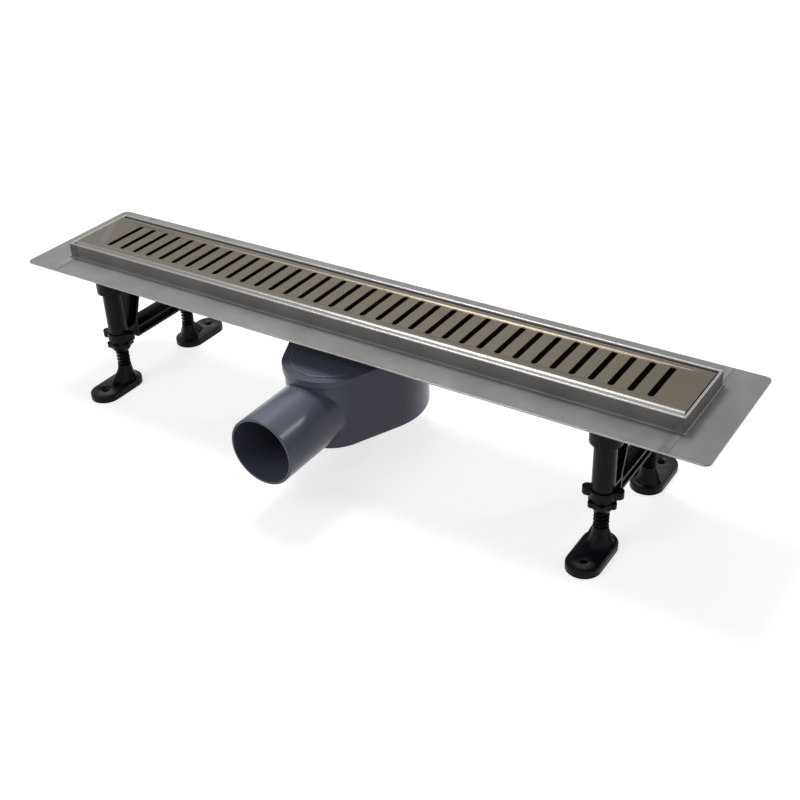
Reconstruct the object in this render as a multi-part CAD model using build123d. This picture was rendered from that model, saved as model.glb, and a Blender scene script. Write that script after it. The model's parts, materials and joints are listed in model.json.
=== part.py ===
from build123d import *
import os
from math import asin, atan2, cos, pi, sin

# Shower channel drain: a folded stainless channel with a slotted grate over it, a plastic
# trap that swivels under its middle, and two moulded cradles on four screw feet.
# Millimetres. x runs along the channel, the outlet pipe points to -y, z is up. The origin
# is on the floor, in the middle of the four fixing holes of the feet.

# Flange, collar and trough, folded from one sheet
collar_length = 510.0
collar_width = 63.4
collar_height = 11.5
flange_height = 99.0
flange_end = 25.0
flange_side = 24.3
flange_corner = 5.0
sheet = 1.0
hem_gap = 0.2
hem_bend = 0.08
collar_bend = 1.2
trough_bend = 0.5
trough_depth = 10.5
trough_fall = 1.5
fold_bend = 20.0
seam_inset = 7.0

# Slotted grate
grate_sheet = 1.5
grate_gap = 0.3
grate_bend = 1.5
slot_margin = 24.0
slot_pitch = 13.2
slot_length = 39.0
slot_width = 4.4

# Spigot under the trough, and what drops into it
spigot_od = 50.0
spigot_wall = 1.5
spigot_drop = 20.0
spigot_lip = 1.7
insert_gap = 0.3
insert_wall = 2.2
insert_shoulder = 2.5
insert_recess = 1.5
dip_od = 34.0
dip_wall = 1.6
dip_length = 28.5
groove_width = 2.6
groove_depth = 1.0
groove_drop = 7.0
ring_gap = 0.05
ring_corner = 0.5
bail_width = 4.0
bail_height = 3.0
sieve_sheet = 0.8
sieve_depth = 4.5
sieve_hole = 4.0
sieve_pitch = 6.6
sieve_circles = (7.6, 14.6)
knob_radius = 2.6
knob_height = 6.0

# Trap
bowl_radius = 47.9
chamber_radius = 31.3
chamber_reach = 40.3
trap_wall = 2.0
trap_floor_round = 2.0
trap_gap = 2.0
cover_plate = 2.5
cover_step = 1.2
cover_inset = 4.2
cover_chamfer = 0.7
cover_gap = 0.1
skirt_wall = 1.6
skirt_drop = 4.0
band_proud = 1.4
band_height = 5.3
weir_gap = 11.0
weir_wall = 2.0
water_seal = 24.0
socket_wall = 2.4
socket_gap = 0.3
socket_drop = 11.3
seal_height = 5.0
seal_depth = 3.35
seal_top = 2.3
seal_lip = 1.6
seal_fit = 0.05
outlet_od = 50.0
outlet_wall = 1.8
outlet_length = 49.4
outlet_neck = 1.4
outlet_overlap = 12.6
outlet_draft = 0.4
outlet_chamfer = 0.5
outlet_gap = 0.7
outlet_belly = 0.5

# Leg cradles
leg_inset = 46.0
leg_y = 38.7
tube_top_radius = 7.45
tube_end_radius = 7.65
tube_length = 50.8
tube_bore_gap = 0.35
head_radius = 10.75
head_length = 17.5
head_slope = 2.6
head_floor = 0.8
web = 3.0
rail_width = 12.0
rail_thickness = 2.0
beam_height = 15.0
beam_lap = 4.8
ridge_height = 8.0
upright_top_y = 10.7
upright_lap = 0.55
cradle_gap = 0.2
trough_gap = 0.3
wing_gap = 0.6
stud_radius = 2.5
stud_length = 12.0
stud_gap = 0.05

# Nuts and screw feet
screw_radius = 5.25
nut_fit = 0.05
nut_gap = 0.1
wing_angle = 14.0
hub_radius = 8.8
wing_span = 27.0
wing_width = 7.0
wing_height = 5.9
wing_chamfer = 0.8
collar_nut_height = 2.4
lobe_span = 20.5
lobe_radius = 2.8
lobe_count = 6
lobe_angle = 52.5
lobe_height = 3.6
cone_height = 3.8
cone_top_radius = 8.1
cone_end_radius = 6.2
foot_width = 24.0
foot_reach = 24.0
foot_thickness = 5.4
foot_round = 1.5
foot_rim = 2.6
foot_hollow = 2.0
boss_wall = 2.4
neck_base_radius = 8.2
neck_waist_radius = 6.2
neck_waist = 5.0
neck_height = 12.0
rib_width = 2.0
rib_reach = 16.5
side_rib_reach = 10.0
screw_top = 68.0
screw_chamfer = 1.0
hole_radius = 2.1
countersink_radius = 3.4

# Sizes of the channel that other pieces follow
flange_length = collar_length + 2 * flange_end
flange_width = collar_width + 2 * flange_side
rim_top = flange_height + collar_height
trough_wall_z = flange_height - trough_depth
trough_floor_z = trough_wall_z - trough_fall
trough_half = collar_width / 2 - 2 * sheet - hem_gap
fall_angle = atan2(trough_fall, trough_half)
trough_under_z = trough_floor_z - sheet / cos(fall_angle)
spigot_bore = spigot_od / 2 - spigot_wall
spigot_bottom = trough_under_z - spigot_drop

# Heights and reaches of the trap, down from the trough and out from the bowl
trap_top = trough_under_z - trap_gap
cover_top = trap_top - cover_step
cover_seat = cover_top - cover_plate
outlet_height = cover_top - band_height - outlet_gap - outlet_od / 2
trap_bottom = outlet_height - outlet_od / 2 + outlet_belly
chamber_front = chamber_reach + chamber_radius
outlet_reach = chamber_front + outlet_length

# Heights and reaches of a leg, down from the flange
leg_x = collar_length / 2 - leg_inset
cradle_top = trough_under_z - cradle_gap
head_top = flange_height - sheet
stud_hole_bottom = head_top - stud_length - cradle_gap
tube_bottom = head_top - tube_length
beam_bottom = tube_bottom + beam_lap - beam_height


def bent_sheet(path, radii, thickness):
    """Section of a bent sheet that lies to the right of path. Each radius is the inner one of its bend."""
    shown = [Vector(*point) for point in path]
    runs = [(b - a).normalized() for a, b in zip(shown, shown[1:])]
    sides = [Vector(run.Y, -run.X) for run in runs]
    hidden = [shown[0] + sides[0] * thickness]
    for point, before, after in zip(shown[1:], sides, sides[1:]):
        hidden.append(point + (before + after) * (thickness / (1 + before.dot(after))))
    hidden.append(shown[-1] + sides[-1] * thickness)
    left_turns = [before.cross(after).Z > 0 for before, after in zip(runs, runs[1:])]
    shown_radii = [r if left else r + thickness for r, left in zip(radii, left_turns)]
    hidden_radii = [r + thickness if left else r for r, left in zip(radii, left_turns)]
    with BuildSketch() as section:
        with BuildLine():
            top = FilletPolyline(*shown, radius=shown_radii)
            under = FilletPolyline(*hidden, radius=hidden_radii)
            Line(top @ 0, under @ 0)
            Line(top @ 1, under @ 1)
        make_face()
    return section.sketch


def along_x(section, start, end):
    """A section drawn in y and z, extruded from x = start to x = end."""
    return Pos(start, 0, 0) * extrude(Plane.YZ * section, amount=end - start)


def rod(radius, bottom, top):
    """An upright cylinder about the z axis."""
    return Pos(0, 0, (bottom + top) / 2) * Cylinder(radius, top - bottom)


def ring(outer, inner, bottom, top):
    """An upright ring or tube about the z axis."""
    return rod(outer, bottom, top) - rod(inner, bottom, top)


def turned(*profile):
    """A solid turned about the z axis from (radius, height) points."""
    return revolve(Plane.XZ * make_face(Polyline(*profile, close=True)), Axis.Z)


def both_sides(solid):
    """A solid and its mirror image on the other side of the channel."""
    return solid + mirror(solid, Plane.XZ)


def side_path():
    """Front half of the channel's upper surface, from the flange's edge to the trough's wall foot."""
    base, rim = collar_width / 2, trough_half
    return [
        (-flange_width / 2, flange_height),
        (-base, flange_height),
        (-base, rim_top),
        (-rim, rim_top),
        (-rim, trough_wall_z),
    ]


side_bends = [collar_bend, hem_bend, hem_bend]


def channel_section():
    """Whole folded section: flange, collar with its hem, trough with a fall to the middle."""
    front = side_path()
    back = [(-y, z) for y, z in reversed(front)]
    bends = side_bends + [trough_bend]
    return bent_sheet(front + [(0, trough_floor_z)] + back, bends + [fold_bend] + bends[::-1], sheet)


def channel_profile():
    """The long folded sheet, with the drain hole in its floor."""
    end = collar_length / 2 - seam_inset
    hole = Pos(0, 0, trough_under_z) * Cylinder(spigot_bore, 4 * (trough_fall + sheet))
    return along_x(channel_section(), -end, end) - hole


def channel_end():
    """Welded end at +x: a stub of the section, the hemmed end wall and the end flange."""
    start, collar_end = collar_length / 2 - seam_inset, collar_length / 2
    wall_in = collar_end - 2 * sheet - hem_gap
    stub = along_x(channel_section(), start, wall_in + sheet)
    side = side_path()
    side[-1] = (side[-1][0], flange_height - sheet)
    corner = along_x(bent_sheet(side, side_bends, sheet), wall_in, collar_end)
    wall_path = [
        (wall_in, trough_under_z),
        (wall_in, rim_top),
        (collar_end, rim_top),
        (collar_end, flange_height),
        (flange_length / 2, flange_height),
    ]
    wall = extrude(Plane.XZ * bent_sheet(wall_path, side_bends[::-1], sheet), collar_width / 2, both=True)
    under_flange = Box(flange_length, flange_width, flange_height - collar_bend - sheet,
                       align=(Align.MIN, Align.MIN, Align.MIN))
    wall -= both_sides(Pos(0, trough_half + sheet, 0) * under_flange)
    plate_length = flange_length / 2 - collar_end
    plate = Rectangle(plate_length, flange_width)
    plate = fillet(plate.vertices().sort_by(Axis.X)[-2:], flange_corner)
    flange = Pos(collar_end + plate_length / 2, 0, flange_height - sheet) * extrude(plate, sheet)
    return stub + both_sides(corner) + wall + flange


def grate():
    """Cover with its long edges bent down to the trough floor, and a row of punched slots."""
    half_width = trough_half - grate_gap
    half_length = collar_length / 2 - 2 * sheet - hem_gap - grate_gap
    foot = trough_wall_z + grate_gap
    path = [(-half_width, foot), (-half_width, rim_top), (half_width, rim_top), (half_width, foot)]
    cover = along_x(bent_sheet(path, [grate_bend] * 2, grate_sheet), -half_length, half_length)
    slot_count = 1 + int((2 * (half_length - slot_margin) - slot_width) / slot_pitch)
    slots = GridLocations(slot_pitch, 1, slot_count, 1) * SlotOverall(slot_length, slot_width, 90)
    return cover - Pos(0, 0, rim_top) * extrude(Sketch() + slots, grate_sheet + grate_bend, both=True)


def drain_spigot():
    """Tube welded under the drain hole, with a lip turned in at its lower end."""
    outer = spigot_od / 2
    tube = ring(outer, spigot_bore, spigot_bottom, trough_wall_z)
    lip = ring(spigot_bore, spigot_bore - spigot_lip, spigot_bottom, spigot_bottom + spigot_wall)
    rise = trough_fall * outer / trough_half
    below = make_face(Polyline((-outer, 0), (outer, 0), (outer, trough_under_z + rise),
                               (0, trough_under_z), (-outer, trough_under_z + rise), close=True))
    return (tube + lip) & along_x(below, -outer, outer)


def groove_z():
    """Bottom of the ring groove in the insert."""
    return trough_under_z - groove_drop


def odour_insert():
    """Lift-out odour trap: a cup that hangs on the spigot's lip, a dip tube and a bail to pull it."""
    outer = spigot_bore - insert_gap
    inner = outer - insert_wall
    top = trough_floor_z - insert_recess
    seat = spigot_bottom + spigot_wall
    dip = dip_od / 2
    cup = turned(
        (outer, seat), (outer, top), (inner, top), (inner, seat + insert_shoulder),
        (dip - dip_wall, seat), (dip - dip_wall, seat - dip_length), (dip, seat - dip_length), (dip, seat),
    )
    groove = ring(outer + groove_depth, outer - groove_depth, groove_z(), groove_z() + groove_width)
    bail_z = seat + insert_shoulder + bail_height / 2
    bail = Pos(0, 0, bail_z) * Box(2 * inner + insert_wall, bail_width, bail_height)
    return cup - groove + bail


def insert_ring():
    """Rubber ring in the insert's groove, against the spigot's bore."""
    inner = spigot_bore - insert_gap - groove_depth
    outer = spigot_bore - ring_gap
    middle = Pos((inner + outer) / 2, groove_z() + groove_width / 2)
    return revolve(Plane.XZ * middle * RectangleRounded(outer - inner, groove_width, ring_corner), Axis.Z)


def hair_sieve():
    """Pressed sieve in the insert's mouth: a dish with a turned-out rim, holes and a knob."""
    rim_z = trough_floor_z - insert_recess
    outer = spigot_bore - insert_gap
    wall = outer - insert_wall - insert_gap
    floor_z = rim_z - sieve_depth
    dish = turned(
        (0, floor_z), (wall, floor_z), (wall, rim_z), (outer, rim_z), (outer, rim_z + sieve_sheet),
        (wall - sieve_sheet, rim_z + sieve_sheet), (wall - sieve_sheet, floor_z + sieve_sheet),
        (0, floor_z + sieve_sheet),
    )
    punch = Cylinder(sieve_hole / 2, 4 * sieve_sheet)
    for circle in sieve_circles:
        places = PolarLocations(circle, round(2 * pi * circle / sieve_pitch))
        dish -= [Pos(0, 0, floor_z) * place * punch for place in places]
    knob = Pos(0, 0, floor_z + sieve_sheet + knob_height / 2) * Cylinder(knob_radius, knob_height)
    return dish + knob


def trap_outline(grow):
    """Plan of the trap: the bowl and the outlet chamber with tangent walls, grown by an amount."""
    bowl, chamber = bowl_radius + grow, chamber_radius + grow
    slope = asin((bowl_radius - chamber_radius) / chamber_reach)
    across, along = cos(slope), sin(slope)
    with BuildSketch() as plan:
        with BuildLine():
            back = ThreePointArc((bowl * across, -bowl * along), (0, bowl), (-bowl * across, -bowl * along))
            front = ThreePointArc(
                (-chamber * across, -chamber_reach - chamber * along),
                (0, -chamber_reach - chamber),
                (chamber * across, -chamber_reach - chamber * along),
            )
            Line(back @ 1, front @ 0)
            Line(front @ 1, back @ 0)
        make_face()
    return plan.sketch


def trap_block(grow, bottom, top):
    """An upright block on the trap's plan."""
    return Pos(0, 0, bottom) * extrude(trap_outline(grow), top - bottom)


def trap_body():
    """Moulded shell with its band for the cover, the weir round the dip tube and the outlet pipe."""
    floor = trap_bottom + trap_wall
    shell = trap_block(0, trap_bottom, cover_seat)
    shell = fillet(shell.edges().filter_by(Plane.XY).group_by(Axis.Z)[0], trap_floor_round)
    shell += trap_block(band_proud, cover_top - band_height, cover_top)
    outer = outlet_od / 2
    root = chamber_front - outlet_overlap
    pipe_axis = Pos(0, 0, outlet_height) * Rot(90, 0, 0)
    shell += pipe_axis * turned(
        (0, root), (outer + outlet_draft, root), (outer, chamber_front + outlet_neck),
        (outer, outlet_reach - outlet_chamfer), (outer - outlet_chamfer, outlet_reach), (0, outlet_reach),
    )
    shell -= trap_block(-trap_wall, floor, cover_top + trap_gap)
    shell -= trap_block(cover_gap, cover_seat, cover_top + trap_gap)
    shell -= pipe_axis * rod(outer - outlet_wall, root, outlet_reach)
    weir_bore = dip_od / 2 + weir_gap
    weir_top = spigot_bottom + spigot_wall - dip_length + water_seal
    return shell + ring(weir_bore + weir_wall, weir_bore, floor, weir_top)


def trap_cover():
    """Cover plate with a raised field, a skirt inside the body and a socket for the spigot."""
    plate = trap_block(0, cover_seat, cover_top)
    field = trap_block(-cover_inset, cover_top, trap_top)
    field = chamfer(field.edges().group_by(Axis.Z)[-1], cover_chamfer)
    skirt = trap_block(-trap_wall - cover_gap, cover_seat - skirt_drop, cover_seat)
    skirt -= trap_block(-trap_wall - cover_gap - skirt_wall, cover_seat - skirt_drop, cover_seat)
    seat_radius = spigot_od / 2 + seal_fit + seal_depth
    seat_top = cover_seat - seal_top
    socket_bottom = cover_seat - socket_drop
    cover = plate + field + skirt + rod(seat_radius + socket_wall, socket_bottom, cover_seat)
    cover -= rod(spigot_od / 2 + socket_gap, socket_bottom, trap_top)
    return cover - rod(seat_radius, seat_top - seal_height, seat_top)


def spigot_seal():
    """Lip seal in the cover's socket, with the spigot turning in it."""
    bore = spigot_od / 2 + seal_fit
    outer = bore + seal_depth
    top = cover_seat - seal_top
    step = seal_height / 6
    return turned(
        (outer, top - seal_height), (outer, top), (bore + seal_lip, top), (bore, top - 2 * step),
        (bore, top - 3 * step), (bore + seal_lip, top - 4 * step), (bore + seal_lip, top - seal_height),
    )


def cradle_webs():
    """A cradle's flat web, in y and z, and the rails that stand out from both of its faces."""
    reach = leg_y - wing_span / 2 - wing_gap
    middle = beam_bottom + beam_height / 2
    beam = Pos(0, middle) * Rectangle(2 * reach, beam_height)
    above_rail = Rectangle(2 * (reach - rail_thickness), beam_height)
    beam_rails = beam - Pos(0, middle + rail_thickness) * above_rail
    ridge = Pos(0, beam_bottom + ridge_height) * Rectangle(2 * reach, rail_thickness)
    upright = make_face(Polyline(
        (reach - upright_lap, tube_bottom), (leg_y, tube_bottom),
        (leg_y, cradle_top), (upright_top_y, cradle_top), close=True,
    ))
    frame = upright - offset(upright, -rail_thickness, kind=Kind.INTERSECTION)
    webs = beam + upright + mirror(upright, Plane.YZ)
    return webs, beam_rails + ridge + frame + mirror(frame, Plane.YZ)


def cradle_tube():
    """Screw tube with its head, up to the flange, before it is bored."""
    return turned(
        (0, tube_bottom), (tube_end_radius, tube_bottom), (tube_top_radius, head_top - head_length),
        (head_radius, head_top - head_length + head_slope), (head_radius, head_top), (0, head_top),
    )


def leg_cradle():
    """One-piece moulding that carries the channel: a flanged web between two screw tubes."""
    webs, rails = cradle_webs()
    body = along_x(webs, -web / 2, web / 2) + along_x(rails, -rail_width / 2, rail_width / 2)
    bores = rod(screw_radius + tube_bore_gap, 0, stud_hole_bottom - head_floor)
    bores += rod(stud_radius + stud_gap, stud_hole_bottom, flange_height)
    for end in (-leg_y, leg_y):
        body += Pos(0, end, 0) * cradle_tube()
        body -= Pos(0, end, 0) * bores
    trough = Box(2 * head_radius, 2 * (trough_half + sheet + trough_gap), flange_height,
                 align=(Align.CENTER, Align.CENTER, Align.MIN))
    return body - Pos(0, 0, cradle_top) * trough


def fixing_studs():
    """Studs welded under the flange, one in the head of each screw tube."""
    stud = rod(stud_radius, head_top - stud_length, head_top)
    return Compound([place * stud for place in GridLocations(2 * leg_x, 2 * leg_y, 2, 2)])


def adjusting_nut():
    """Wing nut under the tube that sets the height of the foot."""
    hub = Circle(hub_radius) + SlotOverall(wing_span, wing_width, wing_angle)
    nut = extrude(hub - Circle(screw_radius + nut_fit), wing_height)
    nut = chamfer(nut.edges().group_by(Axis.Z)[0].filter_by(GeomType.LINE), wing_chamfer)
    return Pos(0, 0, tube_bottom - nut_gap - wing_height) * nut


def lock_nut():
    """Lobed nut with a collar over it and a tapered nose, run up against the wing nut."""
    top = tube_bottom - 2 * nut_gap - wing_height
    crown_top = top - collar_nut_height
    middle = crown_top - lobe_height
    low = middle - cone_height
    lobes = PolarLocations(lobe_span / 2 - lobe_radius, lobe_count, lobe_angle) * Circle(lobe_radius)
    crown = Pos(0, 0, middle) * extrude(Circle(hub_radius) + lobes, lobe_height)
    body = turned(
        (0, low), (cone_end_radius, low), (cone_top_radius, middle), (cone_top_radius, top), (0, top),
    )
    return crown + body - rod(screw_radius + nut_fit, low, top)


def screw_foot():
    """Moulded foot with its screw, about the screw's axis and with the plate out to +y."""
    plan = SlotCenterToCenter(foot_reach, foot_width, 90)
    middle = Pos(0, foot_reach / 2, 0)
    plate = extrude(plan, foot_thickness)
    plate = middle * fillet(plate.edges().group_by(Axis.Z)[-1], foot_round)
    hollow = middle * extrude(SlotCenterToCenter(foot_reach, foot_width - 2 * foot_rim, 90), foot_hollow)
    hollow -= Pos(0, foot_reach / 2, foot_hollow / 2) * Box(rib_width, foot_reach + foot_width, foot_hollow)
    hollow -= rod(neck_base_radius, 0, foot_hollow)
    hollow -= Pos(0, foot_reach, 0) * rod(countersink_radius + boss_wall, 0, foot_hollow)
    foot = plate - hollow
    waist, neck_top = foot_thickness + neck_waist, foot_thickness + neck_height
    foot += turned((0, foot_thickness), (neck_base_radius, foot_thickness), (neck_waist_radius, waist),
                   (screw_radius, neck_top), (0, neck_top))
    for turn, reach in ((0, rib_reach), (90, side_rib_reach), (-90, side_rib_reach)):
        rib = make_face(Polyline((0, foot_thickness), (reach, foot_thickness), (screw_radius, neck_top),
                                 (0, neck_top), close=True))
        foot += Rot(0, 0, turn) * along_x(rib, -rib_width / 2, rib_width / 2)
    screw = rod(screw_radius, foot_thickness, screw_top)
    foot += chamfer(screw.edges().group_by(Axis.Z)[-1], screw_chamfer)
    hole = turned(
        (0, 0), (hole_radius, 0), (hole_radius, foot_thickness - (countersink_radius - hole_radius)),
        (countersink_radius, foot_thickness), (0, foot_thickness),
    )
    return foot - Pos(0, foot_reach, 0) * hole


def build():
    """Every piece by its name, in its place."""
    end = channel_end()
    pieces = {
        "channel_profile": channel_profile(),
        "channel_end_right": end,
        "channel_end_left": mirror(end, Plane.YZ),
        "grate": grate(),
        "drain_spigot": drain_spigot(),
        "odour_insert": odour_insert(),
        "insert_ring": insert_ring(),
        "hair_sieve": hair_sieve(),
        "trap_body": trap_body(),
        "trap_cover": trap_cover(),
        "spigot_seal": spigot_seal(),
        "fixing_studs": fixing_studs(),
    }
    cradle = leg_cradle()
    for side, x in (("left", -leg_x), ("right", leg_x)):
        pieces[f"leg_cradle_{side}"] = Pos(x, 0, 0) * cradle
        for row, y, turn in (("front", -leg_y, 180), ("back", leg_y, 0)):
            place = Pos(x, y, 0)
            pieces[f"adjusting_nut_{row}_{side}"] = place * adjusting_nut()
            pieces[f"lock_nut_{row}_{side}"] = place * lock_nut()
            pieces[f"screw_foot_{row}_{side}"] = place * Rot(0, 0, turn) * screw_foot()
    return pieces


os.makedirs("parts", exist_ok=True)
for name, piece in build().items():
    export_step(piece, f"parts/{name}.step")
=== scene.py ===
import json
from math import atan2, cos, hypot, pi, radians, sin

import bmesh
import bpy
from mathutils import Matrix, Vector


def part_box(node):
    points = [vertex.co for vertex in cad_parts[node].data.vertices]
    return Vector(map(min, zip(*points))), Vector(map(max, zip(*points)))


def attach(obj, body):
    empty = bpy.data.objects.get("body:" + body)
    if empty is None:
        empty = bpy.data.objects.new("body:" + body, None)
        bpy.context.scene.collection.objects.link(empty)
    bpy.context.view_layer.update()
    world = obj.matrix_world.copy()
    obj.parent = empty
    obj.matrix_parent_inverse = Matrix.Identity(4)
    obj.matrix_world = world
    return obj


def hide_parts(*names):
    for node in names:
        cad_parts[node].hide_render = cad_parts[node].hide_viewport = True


# Linear shower drain. Metres. x runs along the channel, the outlet pipe points to -y and z is up.
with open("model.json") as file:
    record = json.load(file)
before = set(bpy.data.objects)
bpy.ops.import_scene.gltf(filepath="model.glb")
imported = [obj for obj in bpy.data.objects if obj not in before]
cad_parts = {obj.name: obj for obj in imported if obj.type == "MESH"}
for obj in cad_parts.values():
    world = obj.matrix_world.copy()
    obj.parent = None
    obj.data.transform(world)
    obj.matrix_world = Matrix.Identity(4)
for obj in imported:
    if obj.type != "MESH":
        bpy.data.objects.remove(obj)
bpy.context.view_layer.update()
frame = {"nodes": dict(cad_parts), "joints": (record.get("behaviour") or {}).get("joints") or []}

# Channel: one long folded sheet of 1 mm stainless steel and two folded ends welded to it. The
# sheet keeps the mill's grey satin finish, rolled along its length. The spigot that is welded
# under it and the fixing studs are the same steel.
MM = 0.001


def linear(code):
    """Turns an sRGB hex colour such as 8a8a88 into the linear values that a shader takes."""
    parts = [int(code[i:i + 2], 16) / 255 for i in (0, 2, 4)]
    return [c / 12.92 if c <= 0.04045 else ((c + 0.055) / 1.055) ** 2.4 for c in parts] + [1.0]


def fill(tree, node, inputs):
    """Fills a node's inputs with values, or with the outputs of other nodes."""
    for name, value in inputs.items():
        if isinstance(value, bpy.types.Node):
            value = next(socket for socket in value.outputs if socket.enabled)
        if isinstance(value, bpy.types.NodeSocket):
            tree.links.new(value, node.inputs[name])
        else:
            node.inputs[name].default_value = value


def add(tree, kind, inputs=None, **settings):
    """Adds a node with its settings and its inputs."""
    made = tree.nodes.new("ShaderNode" + kind)
    for name, value in settings.items():
        setattr(made, name, value)
    fill(tree, made, inputs or {})
    return made


def new_finish(name, surface):
    """Makes a material, sets its shader's plain sockets, and returns it with its tree and shader."""
    material = bpy.data.materials.new(name)
    material.use_nodes = True
    shader = material.node_tree.nodes["Principled BSDF"]
    fill(material.node_tree, shader, surface)
    return material, material.node_tree, shader


def grain(tree, size_mm, low, high, detail=2.0, drawn_out=(1.0, 1.0, 1.0)):
    """A cloudy pattern of a real size, drawn out along each axis, that varies from low to high."""
    place = add(tree, "TexCoord").outputs["Object"]
    scale = [1 / (size_mm * MM * factor) for factor in drawn_out]
    laid = add(tree, "Mapping", {"Vector": place, "Scale": scale})
    cloud = add(tree, "TexNoise", {"Vector": laid, "Scale": 1.0, "Detail": detail})
    spread = {"Value": cloud, "From Min": 0.3, "From Max": 0.7, "To Min": low, "To Max": high}
    return add(tree, "MapRange", spread, clamp=False)


def relief(tree, shader, height, depth_mm, edge_mm):
    """Gives the surface a fine relief of a real depth, over edges softened to a real radius."""
    soft = add(tree, "Bevel", {"Radius": edge_mm * MM}, samples=6)
    bump = add(tree, "Bump", {"Height": height, "Distance": depth_mm * MM, "Normal": soft})
    fill(tree, shader, {"Normal": bump})


def dress(names, finish):
    """Puts a finish on CAD nodes that keep their shape."""
    for name in names:
        for place in frame["nodes"][name].material_slots:
            place.material = finish


# A mix node's sockets share their names, so its two plain values and its two colours have numbers.
FIRST_VALUE, SECOND_VALUE = 2, 3
FIRST, SECOND = 6, 7

# Cold-rolled 304 sheet: grey, satin, with cloudy patches and faint rolling lines along x. The
# real lines are about 0.2 mm apart, too fine for the render, so they are drawn at 0.9 mm.
roll_line = 0.9
line_stretch = 70.0
weld_x = 251.0
base_y = 31.7
flange_z = 99.0
mill_steel, tree, shader = new_finish("cold_rolled_304_sheet", {"Metallic": 1.0})
patches = grain(tree, size_mm=28.0, low=0.0, high=1.0, detail=3.0)
sheet = add(tree, "Mix", {"Factor": patches, FIRST: linear("6f6e6d"), SECOND: linear("7c7b7a")},
            data_type="RGBA")
place = add(tree, "TexCoord")
reach = add(tree, "VectorMath", {0: place.outputs["Object"]}, operation="ABSOLUTE")
x, y, z = add(tree, "SeparateXYZ", {"Vector": reach}).outputs

# Beside the welds the heat leaves a faint straw and blue bloom, a few millimetres wide.
bloom_reach = 6.0
bloom_share = 0.4
past_seam = add(tree, "Math", {0: x, 1: weld_x * MM}, operation="SUBTRACT")
from_seam = add(tree, "Math", {0: past_seam}, operation="ABSOLUTE")
waver = grain(tree, size_mm=6.0, low=0.6, high=1.5)
uneven = add(tree, "Math", {0: from_seam, 1: waver}, operation="MULTIPLY")
heat = add(tree, "MapRange", {"Value": uneven, "From Max": bloom_reach * MM, "To Min": 1.0,
                              "To Max": 0.0})
oxide = add(tree, "Mix", {"Factor": heat, FIRST: linear("5d5d68"), SECOND: linear("60543f")},
            data_type="RGBA")
share = add(tree, "Math", {0: heat, 1: bloom_share}, operation="MULTIPLY")
tinted = add(tree, "Mix", {"Factor": share, FIRST: sheet, SECOND: oxide}, data_type="RGBA")

# Painted shade: the fold at the collar's foot, short of the end walls, is darkened towards a dark
# brown grey, as shade in the crease.
crease_shade_full = 0.4
crease_shade_end = 1.3
crease_shade_share = 0.25
fold_end = 254.0
section = add(tree, "CombineXYZ", {"Y": y, "Z": z})
fold_line = (0, base_y * MM, flange_z * MM)
from_fold = add(tree, "VectorMath", {0: section, 1: fold_line}, operation="DISTANCE")
crease_shade = add(tree, "MapRange", {"Value": from_fold, "From Min": crease_shade_full * MM,
                              "From Max": crease_shade_end * MM, "To Min": crease_shade_share, "To Max": 0.0})
along_fold = add(tree, "Math", {0: x, 1: fold_end * MM}, operation="LESS_THAN")
painted_crease_shade = add(tree, "Math", {0: crease_shade, 1: along_fold}, operation="MULTIPLY")
# The dark brown grey here is painted shade in the crease at the wall's foot.
crease_shaded_colour = add(tree, "Mix", {"Factor": painted_crease_shade, FIRST: tinted, SECOND: linear("34302b")},
             data_type="RGBA")

# Painted shade: down in the trough, on all but downward faces, the sheet is coloured nearly black,
# as shade under the grate.
trough_corner = (253.3, 29.8, 98.0)
underside = -0.5
inner_corner = [side * MM for side in trough_corner]
past_corner = add(tree, "VectorMath", {0: reach, 1: inner_corner}, operation="SUBTRACT")
past_x, past_y, past_z = add(tree, "SeparateXYZ", {"Vector": past_corner}).outputs
across = add(tree, "Math", {0: past_x, 1: past_y}, operation="MAXIMUM")
outside = add(tree, "Math", {0: across, 1: past_z}, operation="MAXIMUM")
inside = add(tree, "Math", {0: outside, 1: 0.0}, operation="LESS_THAN")
facing = add(tree, "SeparateXYZ", {"Vector": place.outputs["Normal"]}).outputs["Z"]
not_under = add(tree, "Math", {0: facing, 1: underside}, operation="GREATER_THAN")
painted_trough_shade = add(tree, "Math", {0: inside, 1: not_under}, operation="MULTIPLY")
# The near-black colour here is painted shade inside the trough.
trough_shaded_colour = add(tree, "Mix", {"Factor": painted_trough_shade, FIRST: crease_shaded_colour, SECOND: linear("2b2925")},
             data_type="RGBA")

# The shears and handling polish the flange's cut edges and the crest of the hem, which makes them
# smoother; their lighter colour is a painted highlight.
crest_z = 110.0
cut_x, cut_y = 279.7, 55.7
bright_roughness = 0.34
past_crest = add(tree, "Math", {0: z, 1: crest_z * MM}, operation="SUBTRACT")
past_end = add(tree, "Math", {0: x, 1: cut_x * MM}, operation="SUBTRACT")
past_side = add(tree, "Math", {0: y, 1: cut_y * MM}, operation="SUBTRACT")
at_cut = add(tree, "Math", {0: past_end, 1: past_side}, operation="MAXIMUM")
at_edge = add(tree, "Math", {0: at_cut, 1: past_crest}, operation="MAXIMUM")
polish_and_painted_highlight = add(tree, "Math", {0: at_edge, 1: 0.0}, operation="GREATER_THAN")
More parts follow.
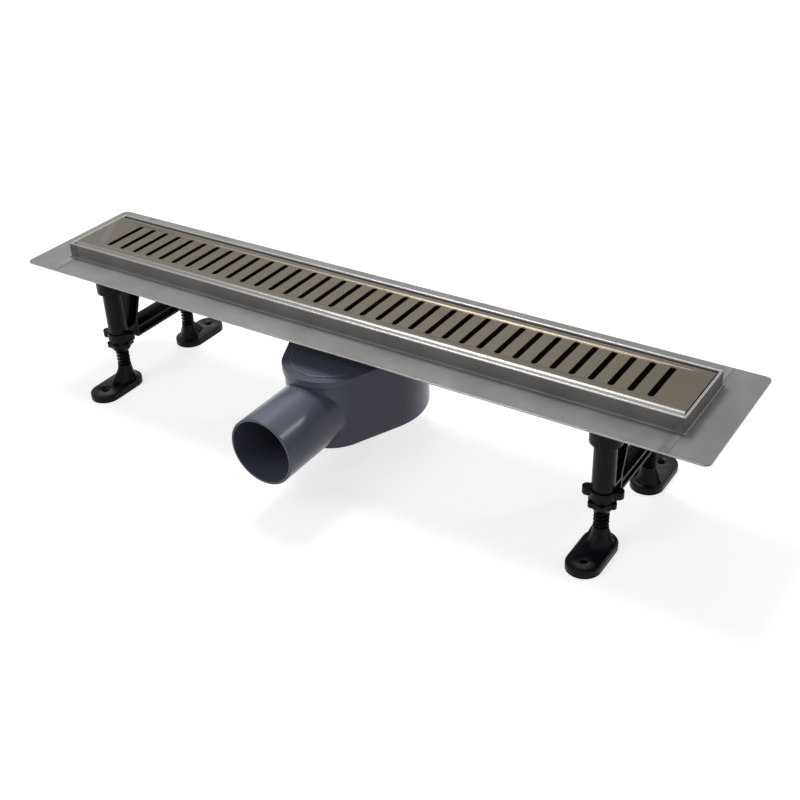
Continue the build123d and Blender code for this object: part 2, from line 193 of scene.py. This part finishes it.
# The lighter grey on the cut edges and the hem's crest is a painted highlight; the lower roughness
# is their polish.
steel_colour = add(tree, "Mix", {"Factor": polish_and_painted_highlight, FIRST: trough_shaded_colour, SECOND: linear("8f8e8c")},
                   data_type="RGBA")
lines = grain(tree, roll_line, low=0.0, high=1.0, detail=3.0, drawn_out=(line_stretch, 1.0, 1.0))
matt = add(tree, "MapRange", {"Value": lines, "To Min": 0.62, "To Max": 0.70})
roughness = add(tree, "Mix", {"Factor": polish_and_painted_highlight, FIRST_VALUE: matt, SECOND_VALUE: bright_roughness})
fill(tree, shader, {"Base Color": steel_colour, "Roughness": roughness})
relief(tree, shader, lines, depth_mm=0.005, edge_mm=0.5)
dress(["channel_profile", "channel_end_left", "channel_end_right"], mill_steel)
dress(["drain_spigot", "fixing_studs"], mill_steel)

# Welds: each end is butt-welded to the long sheet, and the seam is ground flat but for two thin
# ridges. A bright bead runs along the foot of each end wall and ends in small dots of weld metal.
band_width = 6.4
band_proud = 0.2
band_ridge = 0.7
band_groove = 0.14
band_start, band_end = 33.3, 55.6
wall_low, wall_high = 100.3, 109.3
bead_radius = 0.5
bead_x, bead_z = 255.4, 99.4
bead_sides = 12
dot_radius = 1.2
dot_flatness = 0.6
dot_y, dot_z = 31.9, 99.3
weld_metal, tree, shader = new_finish("fused_weld_metal", {"Metallic": 1.0})
ripple = grain(tree, size_mm=1.4, low=0.0, high=1.0)
fused = add(tree, "Mix", {"Factor": ripple, FIRST: linear("6f6e6d"), SECOND: linear("7b7a78")},
            data_type="RGBA")
smooth = grain(tree, size_mm=1.4, low=0.44, high=0.54)
fill(tree, shader, {"Base Color": fused, "Roughness": smooth})
relief(tree, shader, ripple, depth_mm=0.01, edge_mm=0.2)


def new_piece(name, shape, finish, body):
    """Makes an object of a finished shape, closed and facing outwards, and rides it on a body."""
    sharp_angle = radians(32)
    bmesh.ops.remove_doubles(shape, verts=shape.verts, dist=1e-6)
    bmesh.ops.recalc_face_normals(shape, faces=shape.faces)
    mesh = bpy.data.meshes.new(name)
    shape.to_mesh(mesh)
    shape.free()
    mesh.materials.append(finish)
    mesh.shade_smooth()
    mesh.set_sharp_from_angle(angle=sharp_angle)
    piece = bpy.data.objects.new(name, mesh)
    bpy.context.scene.collection.objects.link(piece)
    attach(piece, body)
    return piece


def new_weld(name, shape, turn, centre_mm):
    """Turns a weld about x, moves it to its centre and makes it a piece of the channel."""
    matrix = Matrix.Rotation(turn, 4, "X")
    bmesh.ops.rotate(shape, verts=shape.verts, cent=(0, 0, 0), matrix=matrix)
    bmesh.ops.translate(shape, verts=shape.verts, vec=[side * MM for side in centre_mm])
    new_piece(name, shape, weld_metal, "channel")


def seam_band(length):
    """A flat band along y, its middle ground down between two ridges."""
    band = bmesh.new()
    bmesh.ops.create_cube(band, size=1.0)
    size = (band_width * MM, length * MM, 2 * band_proud * MM)
    bmesh.ops.scale(band, verts=band.verts, vec=size)
    top = [face for face in band.faces if face.calc_center_median().z > band_proud / 2 * MM]
    bmesh.ops.inset_individual(band, faces=top, thickness=band_ridge * MM, depth=-band_groove * MM)
    return band


for side, way_x in (("left", -1), ("right", 1)):
    for row, way_y in (("front", -1), ("back", 1)):
        on_flange = seam_band(band_end - band_start)
        middle = way_y * (band_start + band_end) / 2
        new_weld(f"flange_seam_{row}_{side}", on_flange, 0, (way_x * weld_x, middle, flange_z))
        on_wall = seam_band(wall_high - wall_low)
        centre = (way_x * weld_x, way_y * base_y, (wall_low + wall_high) / 2)
        new_weld(f"wall_seam_{row}_{side}", on_wall, -way_y * pi / 2, centre)
        dot = bmesh.new()
        bmesh.ops.create_icosphere(dot, subdivisions=3, radius=dot_radius * MM)
        bmesh.ops.scale(dot, verts=dot.verts, vec=(1.0, 1.0, dot_flatness))
        new_weld(f"weld_dot_{row}_{side}", dot, 0, (way_x * bead_x, way_y * dot_y, dot_z))
    bead = bmesh.new()
    bmesh.ops.create_cone(bead, cap_ends=True, segments=bead_sides, radius1=bead_radius * MM,
                          radius2=bead_radius * MM, depth=2 * base_y * MM)
    new_weld(f"end_bead_{side}", bead, pi / 2, (way_x * bead_x, 0, bead_z))

# Grate: 1.5 mm stainless sheet, punched with 35 slots and folded down at its long edges, then
# brushed along its length. The brushing makes it warmer and silkier than the mill sheet. The
# real strokes are 0.1 mm apart, too fine for the render, so they are drawn at 0.6 mm.
stroke = 0.6
stroke_stretch = 90.0
brushed_steel, tree, shader = new_finish("brushed_304_cover", {"Metallic": 1.0})
strokes = grain(tree, stroke, low=0.0, high=1.0, detail=3.0, drawn_out=(stroke_stretch, 1.0, 1.0))
patches = grain(tree, size_mm=60.0, low=0.0, high=1.0)
warm = add(tree, "Mix", {"Factor": patches, FIRST: linear("5a5347"), SECOND: linear("60594d")},
           data_type="RGBA")
worn = add(tree, "MapRange", {"Value": strokes, "To Min": 0.0, "To Max": 0.1})
brushed = add(tree, "Mix", {"Factor": worn, FIRST: warm, SECOND: linear("7e776c")},
              data_type="RGBA")
silk = add(tree, "MapRange", {"Value": strokes, "To Min": 0.30, "To Max": 0.34})

# Painted highlight: the two long folds are coloured a paler, neutral grey, so that the lamp's
# highlight on them reads white.
fold_highlight_start = 24.4
fold_highlight_full = 26.0
place = add(tree, "TexCoord").outputs["Object"]
reach = add(tree, "VectorMath", {0: place}, operation="ABSOLUTE")
from_middle = add(tree, "SeparateXYZ", {"Vector": reach}).outputs["Y"]
painted_fold_highlight = add(tree, "MapRange", {"Value": from_middle, "From Min": fold_highlight_start * MM,
                                   "From Max": fold_highlight_full * MM})
# The pale neutral grey on the folds is a painted highlight.
cover_colour = add(tree, "Mix", {"Factor": painted_fold_highlight, FIRST: brushed, SECOND: linear("80807f")},
                   data_type="RGBA")
fill(tree, shader, {"Base Color": cover_colour, "Roughness": silk})
relief(tree, shader, strokes, depth_mm=0.002, edge_mm=0.6)
dress(["hair_sieve"], brushed_steel)

# The long folds are rounder than the solid's, and the row of slots runs 2.7 mm further right.
solid_fold = 3.0
real_fold = 5.0
on_curve = 0.001
curve_slack = 0.01
slot_end_y = 19.6
slot_row = 224.4
row_growth = 2.7
half_width, top = (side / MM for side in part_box("grate")[1][1:])
cover = bmesh.new()
cover.from_mesh(frame["nodes"]["grate"].data)
bmesh.ops.remove_doubles(cover, verts=cover.verts, dist=1e-6)
for corner in cover.verts:
    outward = abs(corner.co.y) / MM - (half_width - solid_fold)
    upward = corner.co.z / MM - (top - solid_fold)
    radius = hypot(outward, upward)
    if outward > -on_curve and upward > -on_curve and radius < solid_fold + curve_slack:
        radius += real_fold - solid_fold
        turn = atan2(outward, upward)
        way = 1 if corner.co.y > 0 else -1
        corner.co.y = way * (half_width - real_fold + radius * sin(turn)) * MM
        corner.co.z = (top - real_fold + radius * cos(turn)) * MM
    if abs(corner.co.y) < slot_end_y * MM:
        corner.co.x += row_growth / 2 * (1 + corner.co.x / MM / slot_row) * MM

# A cut just inside each fold keeps the plate's shading flat up to it.
flat_margin = 0.3
for way in (-1, 1):
    everything = cover.verts[:] + cover.edges[:] + cover.faces[:]
    inside_fold = way * (half_width - real_fold - flat_margin) * MM
    bmesh.ops.bisect_plane(cover, geom=everything, dist=1e-7, plane_co=(0, inside_fold, 0),
                           plane_no=(0, 1, 0))
grate = new_piece("folded_grate", cover, brushed_steel, "channel")
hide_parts("grate")

# Trap: body, cover and lift-out insert are injection-moulded polypropylene in the dark blue
# grey of waste pipe. The mould leaves a satin skin with faint cloudy flow marks.
pipe_plastic, tree, shader = new_finish("moulded_grey_polypropylene",
                                        {"IOR": 1.49, "Specular IOR Level": 0.3})
skin = grain(tree, size_mm=0.7, low=0.0, high=1.0)
flow = grain(tree, size_mm=24.0, low=0.2, high=0.8, detail=1.0, drawn_out=(1.0, 2.5, 1.0))
grey = add(tree, "Mix", {"Factor": flow, FIRST: linear("525665"), SECOND: linear("575b69")},
           data_type="RGBA")
satin = add(tree, "MapRange", {"Value": flow, "To Min": 0.22, "To Max": 0.30}, clamp=False)
fill(tree, shader, {"Base Color": grey, "Roughness": satin})
relief(tree, shader, skin, depth_mm=0.004, edge_mm=0.5)
dress(["trap_body", "trap_cover", "odour_insert"], pipe_plastic)

# Seals: the lip seal in the cover's socket and the insert's ring are black EPDM rubber, dull
# and slightly dusty from the mould.
seal_rubber, tree, shader = new_finish("moulded_epdm_rubber", {"IOR": 1.52})
dust = grain(tree, size_mm=1.5, low=0.0, high=1.0, detail=3.0)
black = add(tree, "Mix", {"Factor": dust, FIRST: linear("141414"), SECOND: linear("24231f")},
            data_type="RGBA")
dull = grain(tree, size_mm=1.5, low=0.55, high=0.75, detail=3.0)
fill(tree, shader, {"Base Color": black, "Roughness": dull})
relief(tree, shader, dust, depth_mm=0.01, edge_mm=0.2)
dress(["spigot_seal", "insert_ring"], seal_rubber)

# Leg cradles and nuts: black glass-filled nylon mouldings, each in one piece. Polished steel
# moulds leave them smooth and nearly glossy, with thin lit edges on the rails.
sides = ("left", "right")
legs = [f"{row}_{side}" for side in sides for row in ("front", "back")]
leg_nylon, tree, shader = new_finish("moulded_black_nylon",
                                     {"IOR": 1.53, "Specular IOR Level": 0.1})
swirl = grain(tree, size_mm=14.0, low=0.0, high=1.0, detail=3.0)
black = add(tree, "Mix", {"Factor": swirl, FIRST: linear("0c0c11"), SECOND: linear("121219")},
            data_type="RGBA")
gloss = add(tree, "MapRange", {"Value": swirl, "To Min": 0.26, "To Max": 0.36})
skin = grain(tree, size_mm=0.8, low=0.0, high=1.0)
fill(tree, shader, {"Base Color": black, "Roughness": gloss})
relief(tree, shader, skin, depth_mm=0.004, edge_mm=0.5)
dress([f"leg_cradle_{side}" for side in sides], leg_nylon)
dress([f"{kind}_{leg}" for kind in ("adjusting_nut", "lock_nut") for leg in legs], leg_nylon)

# Screw feet: screw and foot are one black nylon moulding. The plate and its neck keep the shape
# of their solid, and its plain rod gives way to the real right-hand screw with a 3 mm pitch.
pitch = 3.0
crest = 5.25
shoulder = 5.05
root = 3.1
rod_cut = 17.6
screw_sink = 0.5
turn_steps = 32
screw_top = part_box("screw_foot_front_left")[1][2] / MM
axis_of = {joint["name"]: joint["pos_m"] for joint in frame["joints"] if joint["type"] == "hinge"}

# One pitch of the thread's outline: each radius, and its height as a share of the pitch.
profile = ((root, 0.0), (root, 0.28), (shoulder, 0.42), (crest, 0.47), (crest, 0.53),
           (shoulder, 0.58), (root, 0.72), (root, 1.0))
start = rod_cut - 1.5 * pitch
turns = int((screw_top - start) / pitch) + 1
for leg in legs:
    name = f"screw_foot_{leg}"
    foot = bmesh.new()
    foot.from_mesh(frame["nodes"][name].data)
    bmesh.ops.remove_doubles(foot, verts=foot.verts, dist=1e-6)
    everything = foot.verts[:] + foot.edges[:] + foot.faces[:]
    bmesh.ops.bisect_plane(foot, geom=everything, dist=1e-7, plane_co=(0, 0, rod_cut * MM),
                           plane_no=(0, 0, 1), clear_outer=True)
    rim = [edge for edge in foot.edges if edge.is_boundary]
    bmesh.ops.edgenet_fill(foot, edges=rim)

    screw = bmesh.new()
    points = [screw.verts.new((radius * MM, 0, (start + share * pitch) * MM))
              for radius, share in profile]
    line = [screw.edges.new(pair) for pair in zip(points, points[1:])]
    climb = (0, 0, pitch / turn_steps * MM)
    bmesh.ops.spin(screw, geom=points + line, cent=(0, 0, 0), axis=(0, 0, 1), dvec=climb,
                   angle=2 * pi * turns, steps=turn_steps * turns, use_merge=False,
                   use_duplicate=False)
    bmesh.ops.remove_doubles(screw, verts=screw.verts, dist=2e-6)
    for height, way in (((rod_cut - screw_sink) * MM, -1), (screw_top * MM, 1)):
        everything = screw.verts[:] + screw.edges[:] + screw.faces[:]
        bmesh.ops.bisect_plane(screw, geom=everything, dist=1e-7, plane_co=(0, 0, height),
                               plane_no=(0, 0, way), clear_outer=True)
        rim = [edge for edge in screw.edges
               if edge.is_boundary and abs(edge.verts[0].co.z - height) < 1e-6]
        bmesh.ops.edgenet_fill(screw, edges=rim)
    centre = axis_of[f"height_{leg}"]
    bmesh.ops.translate(screw, verts=screw.verts, vec=(centre[0], centre[1], 0))
    joined = bpy.data.meshes.new("screw")
    screw.to_mesh(joined)
    screw.free()
    foot.from_mesh(joined)
    piece = new_piece(f"threaded_foot_{leg}", foot, leg_nylon, name)
    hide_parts(name)

# Floor and light: a white floor that keeps the drain's shadow, a soft lamp above the front left,
# one overhead that lights the grate's front fold, a tall one behind and a small one at the right.
WHITE = (1.0, 1.0, 1.0, 1.0)
room_light = 0.32
room = bpy.data.worlds.new("white_room")
bpy.context.scene.world = room
room.use_nodes = True
tree = room.node_tree


def seen_directly(tree):
    """1 for what the camera sees, straight or in metal and glass, and 0 for light on surfaces."""
    rays = add(tree, "LightPath").outputs
    seen = add(tree, "Math", {0: rays["Is Camera Ray"], 1: rays["Is Glossy Ray"]},
               operation="MAXIMUM")
    return add(tree, "Math", {0: seen, 1: rays["Is Transmission Ray"]}, operation="MAXIMUM")


strength = add(tree, "MapRange", {"Value": seen_directly(tree), "To Min": room_light,
                                  "To Max": 1.0})
fill(tree, tree.nodes["Background"], {"Color": WHITE, "Strength": strength})

floor_lift = 0.72
floor_reach = 6.0
paper, tree, shader = new_finish("white_paper_floor", {"Roughness": 0.9,
                                                       "Specular IOR Level": 0.1,
                                                       "Base Color": linear("b8b8b8"),
                                                       "Emission Color": WHITE})
lift = add(tree, "MapRange", {"Value": seen_directly(tree), "To Min": 0.0, "To Max": floor_lift})
fill(tree, shader, {"Emission Strength": lift})
floor_shape = bmesh.new()
bmesh.ops.create_grid(floor_shape, x_segments=1, y_segments=1, size=floor_reach)
floor_mesh = bpy.data.meshes.new("studio_floor")
floor_shape.to_mesh(floor_mesh)
floor_shape.free()
floor_mesh.materials.append(paper)
floor = bpy.data.objects.new("studio_floor", floor_mesh)
bpy.context.scene.collection.objects.link(floor)

# Each lamp: bearing from +x and height above the horizon in degrees, distance, sides and power.
lamps = (
    ("key_lamp", -116, 38, 1.9, (0.9, 0.8), 8.0),
    ("overhead_soft_box", 146, 64.5, 1.66, (0.5, 0.45), 17.0),
    ("rear_soft_box", 119, 50, 1.8, (0.62, 0.9), 1.8),
    ("right_small_lamp", 48, 31, 1.8, (0.14, 0.14), 3.5),
)
aim = Vector((0, 0, 0.09))
for name, bearing, height, distance, size, power in lamps:
    lamp = bpy.data.lights.new(name, "AREA")
    lamp.shape = "RECTANGLE"
    lamp.size, lamp.size_y = size
    lamp.energy = power
    holder = bpy.data.objects.new(name, lamp)
    bpy.context.scene.collection.objects.link(holder)
    bearing, height = radians(bearing), radians(height)
    spot = distance * Vector((cos(height) * cos(bearing), cos(height) * sin(bearing), sin(height)))
    holder.location = aim + spot
    holder.rotation_euler = (-spot).to_track_quat("-Z", "Y").to_euler()
    holder.visible_camera = False

# Camera: at the photograph's place, 34 degrees round to the right and 32 degrees above.
azimuth = radians(34.105)
elevation = radians(32.250)
roll = radians(-2.467)
focal_px = 1218.5
image_px = 800
film = 36.0
standpoint = (0.4509, -0.6199, 0.5083)
ahead = Vector((-sin(azimuth) * cos(elevation), cos(azimuth) * cos(elevation), -sin(elevation)))
level = ahead.cross(Vector((0, 0, 1))).normalized()
rise = level.cross(ahead)
right = cos(roll) * level + sin(roll) * rise
up = -sin(roll) * level + cos(roll) * rise
eye = bpy.data.cameras.new("camera")
eye.sensor_fit = "HORIZONTAL"
eye.sensor_width = film
eye.lens = focal_px / image_px * film
camera = bpy.data.objects.new("camera", eye)
bpy.context.scene.collection.objects.link(camera)
turned = Matrix((right, up, -ahead)).transposed().to_4x4()
camera.matrix_world = Matrix.Translation(standpoint) @ turned
bpy.context.scene.camera = camera
bpy.context.scene.view_settings.view_transform = "Standard"
